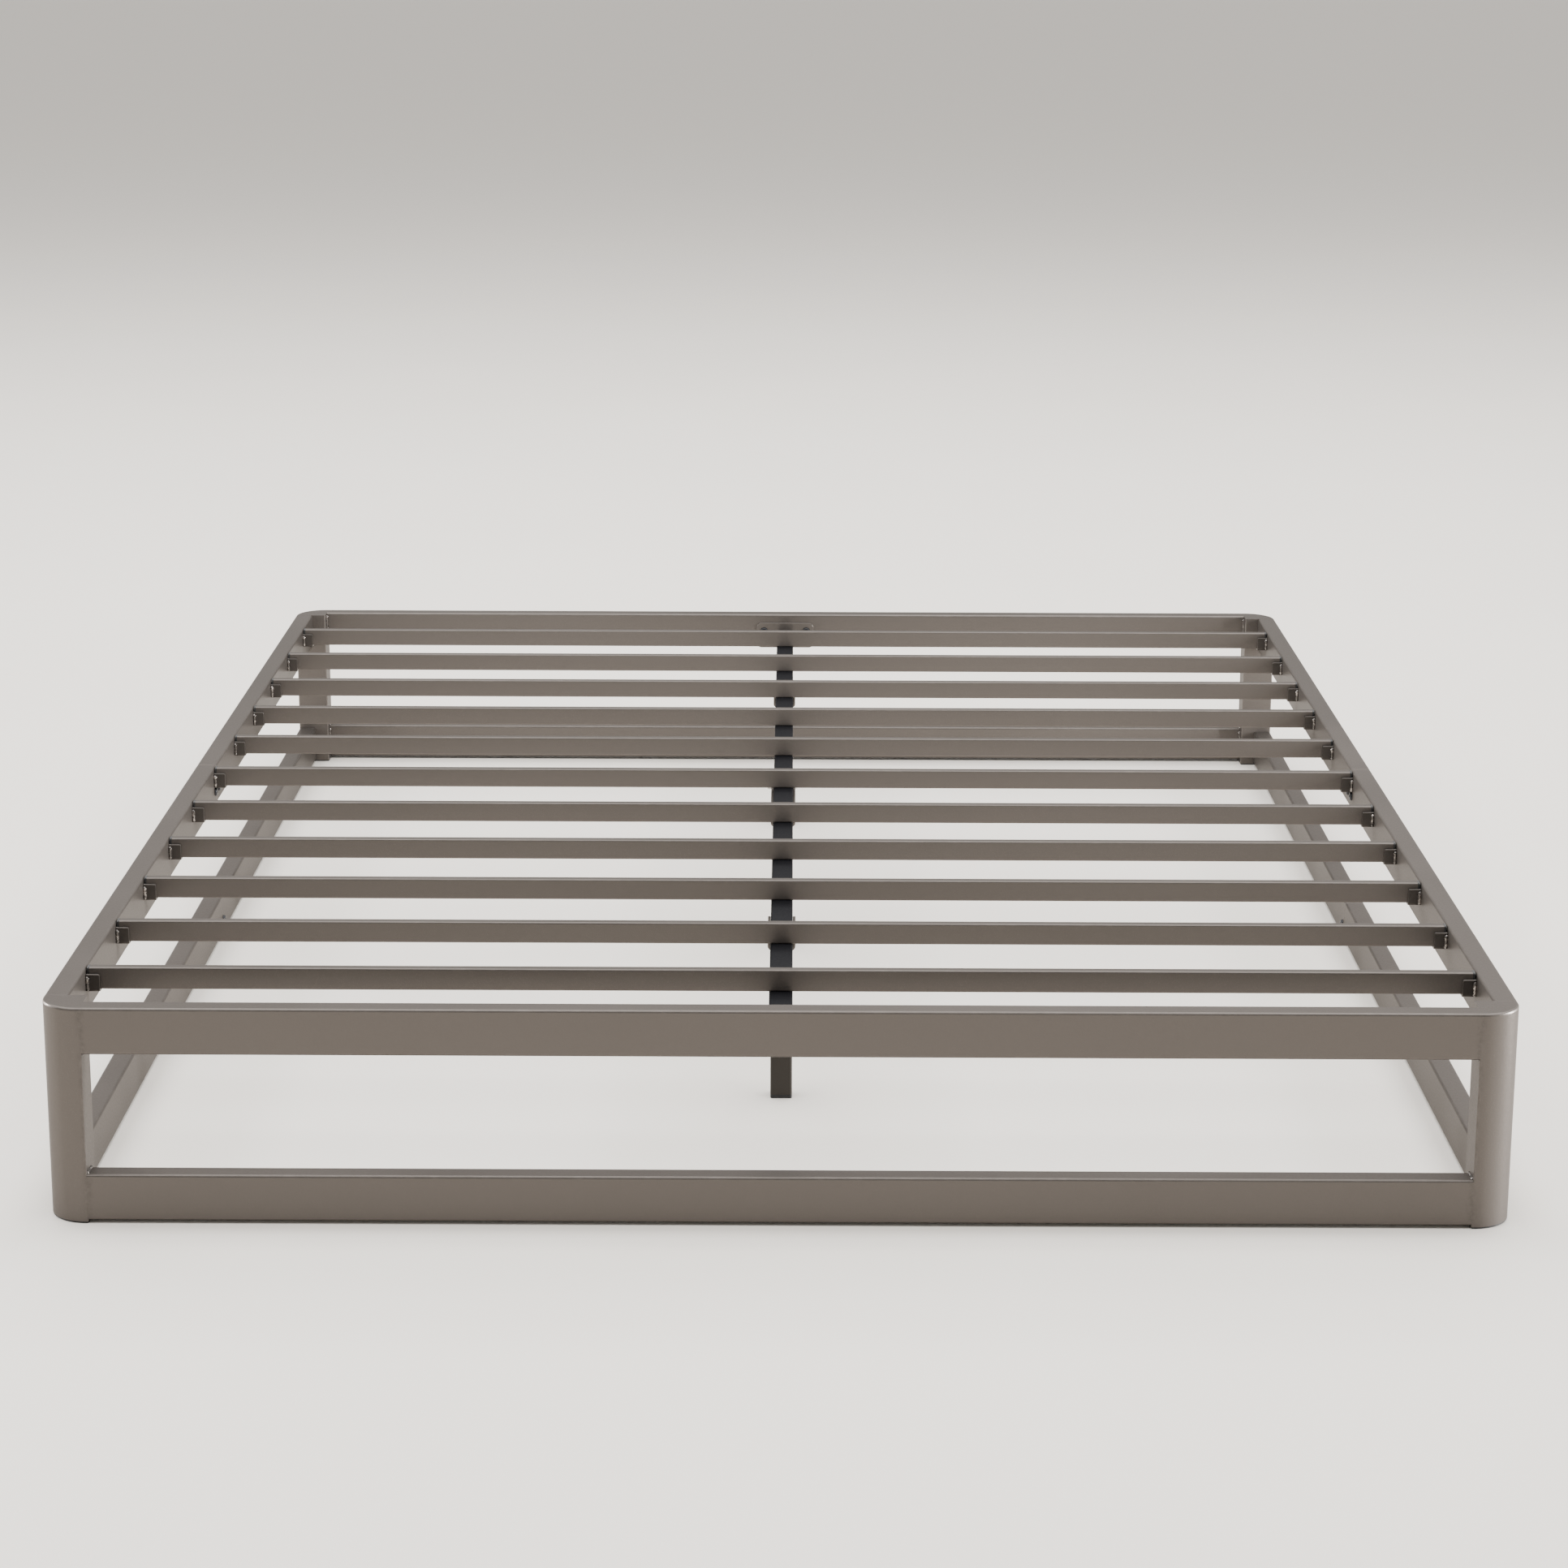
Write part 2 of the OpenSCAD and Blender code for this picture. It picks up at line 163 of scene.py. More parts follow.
class BedFrameFinish(bpy.types.PropertyGroup):
    """Colours and gloss of the finishes."""

    taupe: bpy.props.FloatVectorProperty(
        name="Frame Paint",
        description="Colour of the metallic powder coat on rails, posts and slats",
        default=(0.106, 0.094, 0.085),
        subtype="COLOR",
        size=3,
    )
    taupe_roughness: bpy.props.FloatProperty(
        name="Frame Paint Roughness",
        description="Mean roughness of the frame's powder coat",
        default=0.38,
        subtype="FACTOR",
        min=0.0,
        max=1.0,
    )
    black: bpy.props.FloatVectorProperty(
        name="Beam Paint",
        description="Colour of the black powder coat on the centre beam",
        default=(0.006, 0.006, 0.007),
        subtype="COLOR",
        size=3,
    )
    # Painted shade: the legs' colour is the frame paint darkened to about a third, for the shade under
    # the bed.
    leg: bpy.props.FloatVectorProperty(
        name="Leg Paint",
        description="Colour of the powder coat on the centre legs",
        default=(0.038, 0.034, 0.03),
        subtype="COLOR",
        size=3,
    )
    plastic: bpy.props.FloatVectorProperty(
        name="Plastic",
        description="Colour of the moulded caps, glides and feet",
        default=(0.012, 0.012, 0.012),
        subtype="COLOR",
        size=3,
    )
    zinc: bpy.props.FloatVectorProperty(
        name="Zinc",
        description="Colour of the zinc-plated bolts, nuts and sleeves",
        default=(0.62, 0.61, 0.58),
        subtype="COLOR",
        size=3,
    )


class BedFrameStage(bpy.types.PropertyGroup):
    """The camera and the floor."""

    focal_length: bpy.props.FloatProperty(
        name="Focal Length",
        description="Focal length of the camera on a 36 mm sensor, in millimetres",
        default=82.43,
        min=20.0,
    )
    camera_place: bpy.props.FloatVectorProperty(
        name="Camera Place",
        description="Where the camera stands",
        default=(0.0095, -4.5121, 1.3676),
        subtype="TRANSLATION",
        unit="LENGTH",
        size=3,
    )
    camera_pitch: bpy.props.FloatProperty(
        name="Camera Pitch",
        description="How far the camera looks down",
        default=0.2503,
        subtype="ANGLE",
        unit="ROTATION",
    )
    camera_yaw: bpy.props.FloatProperty(
        name="Camera Yaw",
        description="How far the camera turns to its left",
        default=0.0019,
        subtype="ANGLE",
        unit="ROTATION",
    )
    camera_roll: bpy.props.FloatProperty(
        name="Camera Roll",
        description="How far the camera leans to its left",
        default=0.0035,
        subtype="ANGLE",
        unit="ROTATION",
    )
    floor_colour: bpy.props.FloatVectorProperty(
        name="Floor Colour",
        description="Colour of the plain floor",
        default=(0.9, 0.85, 0.78),
        subtype="COLOR",
        size=3,
    )


# ---- Node helpers for the finishes ----


class Finish:
    """A material with its node tree, its shader and the few helpers that a finish needs."""

    def __init__(self, name):
        self.material = bpy.data.materials.new(name)
        self.material.use_nodes = True
        self.tree = self.material.node_tree
        self.shader = self.tree.nodes["Principled BSDF"]
        self.place = self.add("ShaderNodeTexCoord").outputs["Object"]

    def add(self, kind, **settings):
        node = self.tree.nodes.new(kind)
        for key, value in settings.items():
            setattr(node, key, value)
        return node

    def feed(self, socket, value):
        if isinstance(value, bpy.types.NodeSocket):
            self.tree.links.new(value, socket)
        else:
            socket.default_value = value

    def math(self, operation, first, second=0.0):
        node = self.add("ShaderNodeMath", operation=operation)
        self.feed(node.inputs[0], first)
        self.feed(node.inputs[1], second)
        return node.outputs[0]

    def noise(self, scale, detail=2.0, roughness=0.5, stretch=None):
        node = self.add("ShaderNodeTexNoise")
        place = self.place
        if stretch:
            mapping = self.add("ShaderNodeMapping")
            mapping.inputs["Scale"].default_value = stretch
            self.feed(mapping.inputs["Vector"], place)
            place = mapping.outputs["Vector"]
        self.feed(node.inputs["Vector"], place)
        node.inputs["Scale"].default_value = scale
        node.inputs["Detail"].default_value = detail
        node.inputs["Roughness"].default_value = roughness
        return node.outputs["Fac"]

    def spread(self, value, low, high, to_low=0.0, to_high=1.0):
        node = self.add("ShaderNodeMapRange")
        for key, number in (
            ("From Min", low),
            ("From Max", high),
            ("To Min", to_low),
            ("To Max", to_high),
        ):
            node.inputs[key].default_value = number
        self.feed(node.inputs["Value"], value)
        return node.outputs["Result"]

    def mix(self, amount, first, second):
        node = self.add("ShaderNodeMix", data_type="RGBA")
        self.feed(node.inputs["Factor"], amount)
        self.feed(node.inputs["A"], first)
        self.feed(node.inputs["B"], second)
        return node.outputs["Result"]

    def attribute(self, name):
        return self.add("ShaderNodeAttribute", attribute_name=name).outputs["Fac"]

    def bump(self, height, strength, distance, under=None):
        node = self.add("ShaderNodeBump")
        node.inputs["Strength"].default_value = strength
        node.inputs["Distance"].default_value = distance
        self.feed(node.inputs["Height"], height)
        if under:
            self.feed(node.inputs["Normal"], under)
        return node.outputs["Normal"]

    def set(self, **values):
        for key, value in values.items():
            self.feed(self.shader.inputs[key.replace("_", " ")], value)


def shade(colour, factor):
    """A colour with alpha, lighter or darker by a factor."""
    return tuple(min(1.0, part * factor) for part in colour) + (1.0,)


def powder_coat(name, colour, roughness, metallic, specular, edge_tint, weld_marks=False):
    """Satin metallic powder coat: drifting tone, fine flakes, orange peel and rubbed edges."""
    coat = Finish(name)
    drift = coat.noise(2.6, detail=3.0)
    flakes = coat.noise(1500.0, detail=1.0)
    peel = coat.noise(380.0, detail=2.0)
    grit = coat.noise(2400.0, detail=1.0)
    patches = coat.spread(coat.noise(55.0, detail=4.0), 0.5, 0.72)
    rub = coat.math("MULTIPLY", coat.attribute("rub"), patches)
    base = coat.mix(drift, shade(colour, 0.93), shade(colour, 1.07))
    base = coat.mix(coat.spread(flakes, 0.55, 0.8, 0.0, 0.35), base, shade(colour, 1.6))
    base = coat.mix(coat.math("MULTIPLY", rub, 0.25), base, shade(colour, 1.5))
    rough = coat.spread(drift, 0.3, 0.7, roughness - 0.05, roughness + 0.05)
    rough = coat.math("ADD", rough, coat.spread(peel, 0.3, 0.7, -0.03, 0.03))
    normal = coat.bump(grit, 0.12, 0.0002)
    normal = coat.bump(peel, 0.22, 0.0003, normal)
    if weld_marks:
        mark = ground_weld(coat)
        base = coat.mix(coat.math("MULTIPLY", mark, 0.35), base, shade(colour, 0.6))
        rough = coat.math("ADD", rough, coat.math("MULTIPLY", mark, 0.1))
        normal = coat.bump(mark, 0.25, 0.0003, normal)
    coat.set(Base_Color=base, Roughness=rough, Normal=normal)
    coat.shader.inputs["Metallic"].default_value = metallic
    coat.shader.inputs["Specular IOR Level"].default_value = specular
    coat.shader.inputs["Specular Tint"].default_value = shade((1.0, 0.97, 0.94), edge_tint)
    return coat.material


def ground_weld(coat):
    """A blotchy line where the end rails are welded to the posts and ground flush."""
    rail_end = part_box("foot_top_rail")[1].x
    outer_face = -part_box("foot_top_rail")[0].y
    skin = 1.6 * MM
    apart = coat.add("ShaderNodeSeparateXYZ")
    coat.feed(apart.inputs[0], coat.place)
    across = coat.math("ABSOLUTE", apart.outputs["X"])
    along = coat.math("ABSOLUTE", apart.outputs["Y"])
    wander = coat.spread(coat.noise(60.0, 3.0), 0.3, 0.7, -0.0022, 0.0022)
    from_end = coat.math("SUBTRACT", across, rail_end)
    off_line = coat.math("ABSOLUTE", coat.math("ADD", from_end, wander))
    near = coat.spread(off_line, 0.0004, 0.0055, 1.0, 0.0)
    blotch = coat.spread(coat.noise(240.0, 4.0, 0.65), 0.38, 0.66)
    at_ends = coat.math("GREATER_THAN", along, outer_face - skin)
    return coat.math("MULTIPLY", coat.math("MULTIPLY", near, blotch), at_ends)


def weld_paint(name, colour):
    """Thin glossy powder coat over a weld bead, with painted shade darkening its ripple hollows and
    painted glints brightening patches of it.
    """
    coat = Finish(name)
    ripple = coat.noise(520.0, detail=3.0)
    # Mask of the painted glints: random patches where highlights are painted in as colour.
    bright = coat.spread(coat.noise(190.0, detail=2.0), 0.5, 0.66)
    # Painted shade: the bead is darker towards its ripple hollows, lighter on the crests.
    base = coat.mix(ripple, shade(colour, 0.35), shade(colour, 0.8))
    # Painted glints: the masked patches get the paint at 2.8 times its colour.
    base = coat.mix(bright, base, shade(colour, 2.8))
    rough = coat.spread(ripple, 0.3, 0.7, 0.18, 0.34)
    coat.set(Base_Color=base, Roughness=rough, Normal=coat.bump(ripple, 0.4, 0.0005))
    coat.shader.inputs["Metallic"].default_value = 0.8
    coat.shader.inputs["Coat Weight"].default_value = 0.3
    coat.shader.inputs["Coat Roughness"].default_value = 0.1
    return coat.material


def moulded_plastic(name, colour):
    """Matte moulded plastic with a spark-eroded texture and scuffed edges."""
    skin = Finish(name)
    texture = skin.noise(1900.0, detail=2.0)
    patches = skin.spread(skin.noise(130.0, detail=4.0), 0.48, 0.7)
    scuff = skin.math("MULTIPLY", skin.attribute("rub"), patches)
    base = skin.mix(skin.noise(24.0, 3.0), shade(colour, 0.8), shade(colour, 1.5))
    base = skin.mix(skin.math("MULTIPLY", scuff, 0.5), base, shade(colour, 5.0))
    rough = skin.spread(texture, 0.3, 0.7, 0.5, 0.66)
    skin.set(Base_Color=base, Roughness=rough, Normal=skin.bump(texture, 0.3, 0.0003))
    skin.shader.inputs["Specular IOR Level"].default_value = 0.4
    return skin.material


def plated_steel(name, colour, roughness):
    """Plated or blackened steel with a drawn grain, stains and bright edges."""
    plate = Finish(name)
    grain = plate.noise(900.0, detail=2.0, stretch=(1.0, 0.06, 1.0))
    stain = plate.noise(46.0, detail=4.0, roughness=0.6)
    base = plate.mix(plate.spread(stain, 0.4, 0.7), shade(colour, 1.0), shade(colour, 0.72))
    base = plate.mix(plate.math("MULTIPLY", plate.attribute("rub"), 0.4), base, shade(colour, 1.4))
    rough = plate.spread(stain, 0.3, 0.7, roughness - 0.07, roughness + 0.1)
    plate.set(Base_Color=base, Roughness=rough, Normal=plate.bump(grain, 0.18, 0.0002))
    plate.shader.inputs["Metallic"].default_value = 1.0
    return plate.material


def make_finishes(finish):
    """All of the frame's finishes by the record's slot names, the weld's own, and the cradles' copy of
    the frame paint darkened as painted shade.
    """
    return {
        "taupe_paint": powder_coat(
            "taupe_powder_coat",
            finish.taupe,
            finish.taupe_roughness,
            0.7,
            0.4,
            0.35,
            weld_marks=True,
        ),
        # Painted shade: the cradles get the frame paint darkened to 0.55, as if they stood in shade.
        "cradle_painted_shade": powder_coat(
            "cradle_coat_painted_shade", shade(finish.taupe, 0.55)[:3], 0.36, 0.6, 0.4, 0.6
        ),
        "black_paint": powder_coat("black_powder_coat", finish.black, 0.6, 0.05, 0.06, 0.2),
        # Painted shade: the legs get the darkened copy of the frame paint.
        "leg_paint": powder_coat("leg_coat_painted_shade", finish.leg, 0.5, 0.25, 0.3, 0.5),
        "black_plastic": moulded_plastic("black_moulding", finish.plastic),
        "zinc_steel": plated_steel("zinc_plate", finish.zinc, 0.3),
        "black_steel": plated_steel("blackened_steel", (0.03, 0.03, 0.032), 0.38),
        "weld": weld_paint("weld_coat_painted_glints_and_shade", finish.taupe),
    }


FINISHES = {}


# ---- Mesh helpers ----


def mark_rubbed_faces(bm):
    """Gives narrow edge-rounding faces a 'rub' value, so that finishes can wear them."""
    layer = bm.loops.layers.float_color.new("rub")
    narrow = 2.2 * MM
    for face in bm.faces:
        lengths = [edge.calc_length() for edge in face.edges]
        worn = 1.0 if min(lengths) < narrow and face.calc_area() < max(lengths) * narrow else 0.0
        for loop in face.loops:
            loop[layer] = (worn, worn, worn, 1.0)


def make_piece(name, bm, slot, nodes, body=BODY, edge=0.0, finish=None):
    """Turns a bmesh into a finished piece that rides on a body and stands for CAD nodes."""
    bm.normal_update()
    mark_rubbed_faces(bm)
    mesh = bpy.data.meshes.new(name)
    bm.to_mesh(mesh)
    bm.free()
    mesh.shade_smooth()
    mesh.set_sharp_from_angle(angle=math.radians(50))
    piece = bpy.data.objects.new(name, mesh)
    bpy.context.scene.collection.objects.link(piece)
    mesh.materials.append(FINISHES[finish or slot])
    if edge:
        bevel = piece.modifiers.new("broken_edges", "BEVEL")
        bevel.width = edge
        bevel.segments = 2
        bevel.limit_method = "ANGLE"
        bevel.angle_limit = math.radians(50)
    normals = piece.modifiers.new("face_normals", "WEIGHTED_NORMAL")
    normals.keep_sharp = True
    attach(piece, body)
    if nodes:
        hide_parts(*nodes)
    return piece


def place(whole, part, matrix=Matrix.Identity(4)):
    """Moves a finished part into place and adds it to a bmesh of several parts."""
    part.transform(matrix)
    if matrix.determinant() < 0:
        bmesh.ops.reverse_faces(part, faces=part.faces[:])
    mesh = bpy.data.meshes.new("part")
    part.to_mesh(mesh)
    part.free()
    whole.from_mesh(mesh)
    bpy.data.meshes.remove(mesh)


def block(low, high):
    """A box between two corners, with outward normals."""
    bm = bmesh.new()
    bmesh.ops.create_cube(bm, size=1.0)
    low, high = Vector(low), Vector(high)
    bmesh.ops.scale(bm, vec=high - low, verts=bm.verts)
    bmesh.ops.translate(bm, vec=(low + high) / 2, verts=bm.verts)
    return bm


def round_edges(bm, edges, radius, segments):
    """Rounds edges of a bmesh."""
    return bmesh.ops.bevel(
        bm,
        geom=edges,
        offset=radius,
        offset_type="OFFSET",
        segments=segments,
        profile=0.5,
        affect="EDGES",
        clamp_overlap=False,
        material=-1,
    )


def edges_along(bm, axis):
    """The edges that run along one axis."""
    along = AXES[axis]
    found = []
    for edge in bm.edges:
        step = edge.verts[1].co - edge.verts[0].co
        if abs(step[along]) > 0.999 * step.length > 0:
            found.append(edge)
    return found


def faces_across(bm, axis):
    """The faces that face along one axis, one way or the other."""
    return [face for face in bm.faces if abs(face.normal[AXES[axis]]) > 0.999]


def hollow(bm, axis, wall):
    """Opens both ends of a closed bar and gives it a wall, inwards."""
    bm.normal_update()
    bmesh.ops.delete(bm, geom=faces_across(bm, axis), context="FACES")
    bmesh.ops.recalc_face_normals(bm, faces=bm.faces[:])
    bmesh.ops.solidify(bm, geom=bm.faces[:], thickness=wall)
    bmesh.ops.recalc_face_normals(bm, faces=bm.faces[:])


def tube(low, high, axis, radius, wall, segments=5):
    """A rectangular tube with round corners that fills a box."""
    bm = block(low, high)
    round_edges(bm, edges_along(bm, axis), radius, segments)
    hollow(bm, axis, wall)
    return bm


def at_height(items, height):
    """The edges or faces that lie wholly at one height."""
    return [item for item in items if all(abs(vert.co.z - height) < ABOVE_ZERO for vert in item.verts)]


def turned(profile, segments=24):
    """A closed solid turned round Z from (radius, height) points that start and end on the axis."""
    bm = bmesh.new()
    verts = [bm.verts.new((radius, 0.0, height)) for radius, height in profile]
    edges = [bm.edges.new(pair) for pair in zip(verts, verts[1:])]
    bmesh.ops.spin(
        bm,
        geom=verts + edges,
        cent=(0, 0, 0),
        axis=(0, 0, 1),
        angle=math.tau,
        steps=segments,
        use_merge=True,
    )
    bmesh.ops.remove_doubles(bm, verts=bm.verts, dist=ABOVE_ZERO)
    bmesh.ops.recalc_face_normals(bm, faces=bm.faces[:])
    return bm


def sink_socket(bm, height, across, depth):
    """Sinks a hexagon socket into the flat top of a turned head."""
    bmesh.ops.dissolve_faces(bm, faces=at_height(bm.faces, height))
    top = max(bm.faces, key=lambda face: face.calc_center_median().z)
    bmesh.ops.inset_individual(bm, faces=[top], thickness=across * 0.25)
    sector = math.radians(60)
    for vert in top.verts:
        angle = math.atan2(vert.co.y, vert.co.x)
        reach = across / 2 / math.cos((angle % sector) - sector / 2)
        vert.co = Vector((reach * math.cos(angle), reach * math.sin(angle), height))
    walls = bmesh.ops.extrude_face_region(bm, geom=[top])
    bottom = [item for item in walls["geom"] if isinstance(item, bmesh.types.BMVert)]
    bmesh.ops.translate(bm, vec=(0, 0, -depth), verts=bottom)
    bmesh.ops.delete(bm, geom=[top], context="FACES_ONLY")
    bmesh.ops.recalc_face_normals(bm, faces=bm.faces[:])


def weld_bead(bm, start, end, radius, dice, pitch=1.5 * MM, sides=8):
    """A rippled weld bead from one point to another, swollen at its far end."""
    start, end = Vector(start), Vector(end)
    way = end - start
    steps = max(4, round(way.length / pitch))
    turn = way.to_track_quat("Z", "Y").to_matrix().to_4x4()
    ring = bmesh.ops.create_circle(
        bm,
        cap_ends=True,
        radius=radius * 0.5,
        segments=sides,
        matrix=Matrix.Translation(start) @ turn,
    )
    front = ring["verts"][0].link_faces[0]
    made = set(ring["verts"])
    for step in range(1, steps + 1):
        grown = bmesh.ops.extrude_face_region(bm, geom=[front])["geom"]
        if step > 1:
            bmesh.ops.delete(bm, geom=[front], context="FACES_ONLY")
        front = next(item for item in grown if isinstance(item, bmesh.types.BMFace))
        verts = [item for item in grown if isinstance(item, bmesh.types.BMVert)]
        made.update(verts)
        centre = start + way * step / steps
        wobble = Vector((dice.uniform(-1, 1), dice.uniform(-1, 1), dice.uniform(-1, 1)))
        if step == steps:
            size = 0.55
        elif step >= steps - 2:
            size = 1.25
        else:
            size = (1.06 if step % 2 else 0.9) + dice.uniform(-0.05, 0.05)
        old = sum((vert.co for vert in verts), Vector()) / len(verts)
        reach = sum((vert.co - old).length for vert in verts) / len(verts)
        for vert in verts:
            vert.co = centre + wobble * radius * 0.06 + (vert.co - old) * (radius * size / reach)
    faces = {face for vert in made for face in vert.link_faces}
    bmesh.ops.recalc_face_normals(bm, faces=list(faces))


def middle(box):
    """The middle of a CAD node's box."""
    return (box[0] + box[1]) / 2


# ---- Operators, one for each group of like pieces ----


class BED_OT_finishes(bpy.types.Operator):
    """Mix the paints, plastics and platings"""

    bl_idname = "bed.finishes"
    bl_label = "Finishes"

    def execute(self, context):
        FINISHES.update(make_finishes(context.scene.bed_finish))
        return {"FINISHED"}


class BED_OT_end_rails(bpy.types.Operator):
    """Build the four rails across the foot and head ends"""

    bl_idname = "bed.end_rails"
    bl_label = "End Rails"

    def execute(self, context):
        shape = context.scene.bed_shape
        for node in ("foot_top_rail", "foot_bottom_rail", "head_top_rail", "head_bottom_rail"):
            low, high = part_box(node)
            reach = Vector((shape.post_edge, 0, 0))
            bm = tube(low - reach, high + reach, "X", shape.rail_radius, shape.rail_wall)
            make_piece(node + "_tube", bm, "taupe_paint", [node])
        return {"FINISHED"}


class BED_OT_side_rails(bpy.types.Operator):
    """Build the halves of the four side rails"""

    bl_idname = "bed.side_rails"
    bl_label = "Side Rails"

    def execute(self, context):
        shape = context.scene.bed_shape
        for side in ("left", "right"):
            for level in ("upper", "lower"):
                for end in ("foot", "head"):
                    node = f"{side}_{level}_rail_{end}_half"
                    low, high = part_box(node)
                    bm = tube(low, high, "Y", shape.rail_radius, shape.rail_wall)
                    make_piece(node + "_tube", bm, "taupe_paint", [node], edge=0.45 * MM)
        return {"FINISHED"}


def post_bar(low, high, outer, radius, small_radius, segments=20):
    """A square bar between two corners whose outer corner has the large radius."""
    bm = block(low, high)
    upright = edges_along(bm, "Z")
    rounded = min(upright, key=lambda edge: (edge.verts[0].co.xy - outer).length)
    others = [edge for edge in upright if edge is not rounded]
    round_edges(bm, others, small_radius, 4)
    upright = edges_along(bm, "Z")
    rounded = min(upright, key=lambda edge: (edge.verts[0].co.xy - outer).length)
    round_edges(bm, [rounded], radius, segments)
    return bm


CORNERS = {
    "foot_left": (-1, -1),
    "foot_right": (1, -1),
    "head_left": (-1, 1),
    "head_right": (1, 1),
}


def corner_of_frame(corner):
    """The outer corner of the frame in plan, for a corner's name."""
    x_side, y_side = CORNERS[corner]
    return Vector((x_side * CAD_BOX[1].x, y_side * CAD_BOX[1].y))


class BED_OT_posts(bpy.types.Operator):
    """Build the four corner posts"""

    bl_idname = "bed.posts"
    bl_label = "Corner Posts"

    def execute(self, context):
        shape = context.scene.bed_shape
        for corner in CORNERS:
            node = corner + "_post"
            low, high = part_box(node)
            bm = post_bar(low, high, corner_of_frame(corner), shape.post_radius, shape.post_edge)
            hollow(bm, "Z", shape.post_wall)
            make_piece(node + "_tube", bm, "taupe_paint", [node])
        return {"FINISHED"}


class BED_OT_post_caps(bpy.types.Operator):
    """Build the plates that close the tops of the corner posts"""

    bl_idname = "bed.post_caps"
    bl_label = "Post Caps"

    def execute(self, context):
        shape = context.scene.bed_shape
        low_z, high_z = (corner.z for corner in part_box("post_caps"))
        clear_of_rails = 0.02 * MM
        high_z -= clear_of_rails
        whole = bmesh.new()
        for corner in CORNERS:
            low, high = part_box(corner + "_post")
            outer = corner_of_frame(corner)
            low = Vector((low.x, low.y, low_z))
            high = Vector((high.x, high.y, high_z))
            centre = (low + high).xy / 2
            plate = block(low, high)
            for place_in_plan, radius, segments in (
                (outer, shape.post_radius, 20),
                (2 * centre - outer, shape.post_edge, 3),
            ):
                nearest = min(
                    edges_along(plate, "Z"),
                    key=lambda edge: (edge.verts[0].co.xy - place_in_plan).length,
                )
                round_edges(plate, [nearest], radius, segments)
            rim = []
            for edge in plate.edges:
                mid = (edge.verts[0].co + edge.verts[1].co) / 2
                at_top = all(vert.co.z > high_z - ABOVE_ZERO for vert in edge.verts)
                if at_top and (mid.xy - centre).dot(outer - centre) > 0:
                    rim.append(edge)
            round_edges(plate, rim, (high_z - low_z) * 0.95, 5)
            place(whole, plate)
        make_piece("post_cap_plates", whole, "taupe_paint", ["post_caps"])
        return {"FINISHED"}


class BED_OT_glides(bpy.types.Operator):
    """Build the glides under the corner posts"""

    bl_idname = "bed.glides"
    bl_label = "Post Glides"

    def execute(self, context):
        shape = context.scene.bed_shape
        flange = 2 * MM
        inset = 0.5 * MM
        whole = bmesh.new()
        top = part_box("post_glides")[1].z
        for corner in CORNERS:
            low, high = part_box(corner + "_post")
            outer = corner_of_frame(corner)
            pad_low = Vector((low.x + inset, low.y + inset, 0.0))
            pad_high = Vector((high.x - inset, high.y - inset, flange))
            pad = post_bar(pad_low, pad_high, outer, shape.post_radius, shape.post_edge)
            place(whole, pad)
            gap = shape.post_wall + 0.3 * MM
            plug_low = Vector((low.x + gap, low.y + gap, flange - inset))
            plug_high = Vector((high.x - gap, high.y - gap, top))
            plug = post_bar(plug_low, plug_high, outer, shape.post_radius - gap, 0.5 * MM)
            hollow(plug, "Z", 2.5 * MM)
            place(whole, plug)
        make_piece("post_glide_pads", whole, "black_plastic", ["post_glides"], edge=0.4 * MM)
        return {"FINISHED"}


class BED_OT_slats(bpy.types.Operator):
    """Build the slats and the caps in their ends"""

    bl_idname = "bed.slats"
    bl_label = "Slats"

    def execute(self, context):
        shape = context.scene.bed_shape
        for slat in SLATS:
            low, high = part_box(slat)
            bm = tube(low, high, "X", shape.slat_radius, shape.slat_wall, segments=4)
            make_piece(slat + "_tube", bm, "taupe_paint", [slat], body=slat)
            self.caps(shape, slat, low, high)
        return {"FINISHED"}

    def caps(self, shape, slat, low, high):
        node = slat + "_end_caps"
        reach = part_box(node)[1].x
        plug_length = 14 * MM
        gap = shape.slat_wall + 0.2 * MM
        whole = bmesh.new()
        for side in SIDES:
            flange = block((high.x, low.y, low.z), (reach, high.y, high.z))
            round_edges(flange, edges_along(flange, "X"), shape.slat_radius, 4)
            outer = [face for face in flange.faces if face.normal.x > 0.99]
            bmesh.ops.inset_region(flange, faces=outer, thickness=0.9 * MM)
            bmesh.ops.translate(
                flange,
                vec=(-0.7 * MM, 0, 0),
                verts=[vert for face in outer for vert in face.verts],
            )
            place(whole, flange, Matrix.Scale(side, 4, (1, 0, 0)))
            plug = block(
                (high.x - plug_length, low.y + gap, low.z + gap),
                (high.x + 0.2 * MM, high.y - gap, high.z - gap),
            )
            round_edges(plug, edges_along(plug, "X"), 1 * MM, 3)
            place(whole, plug, Matrix.Scale(side, 4, (1, 0, 0)))
        name = node.replace("end_caps", "caps")
        make_piece(name, whole, "black_plastic", [node], body=slat, edge=0.35 * MM)


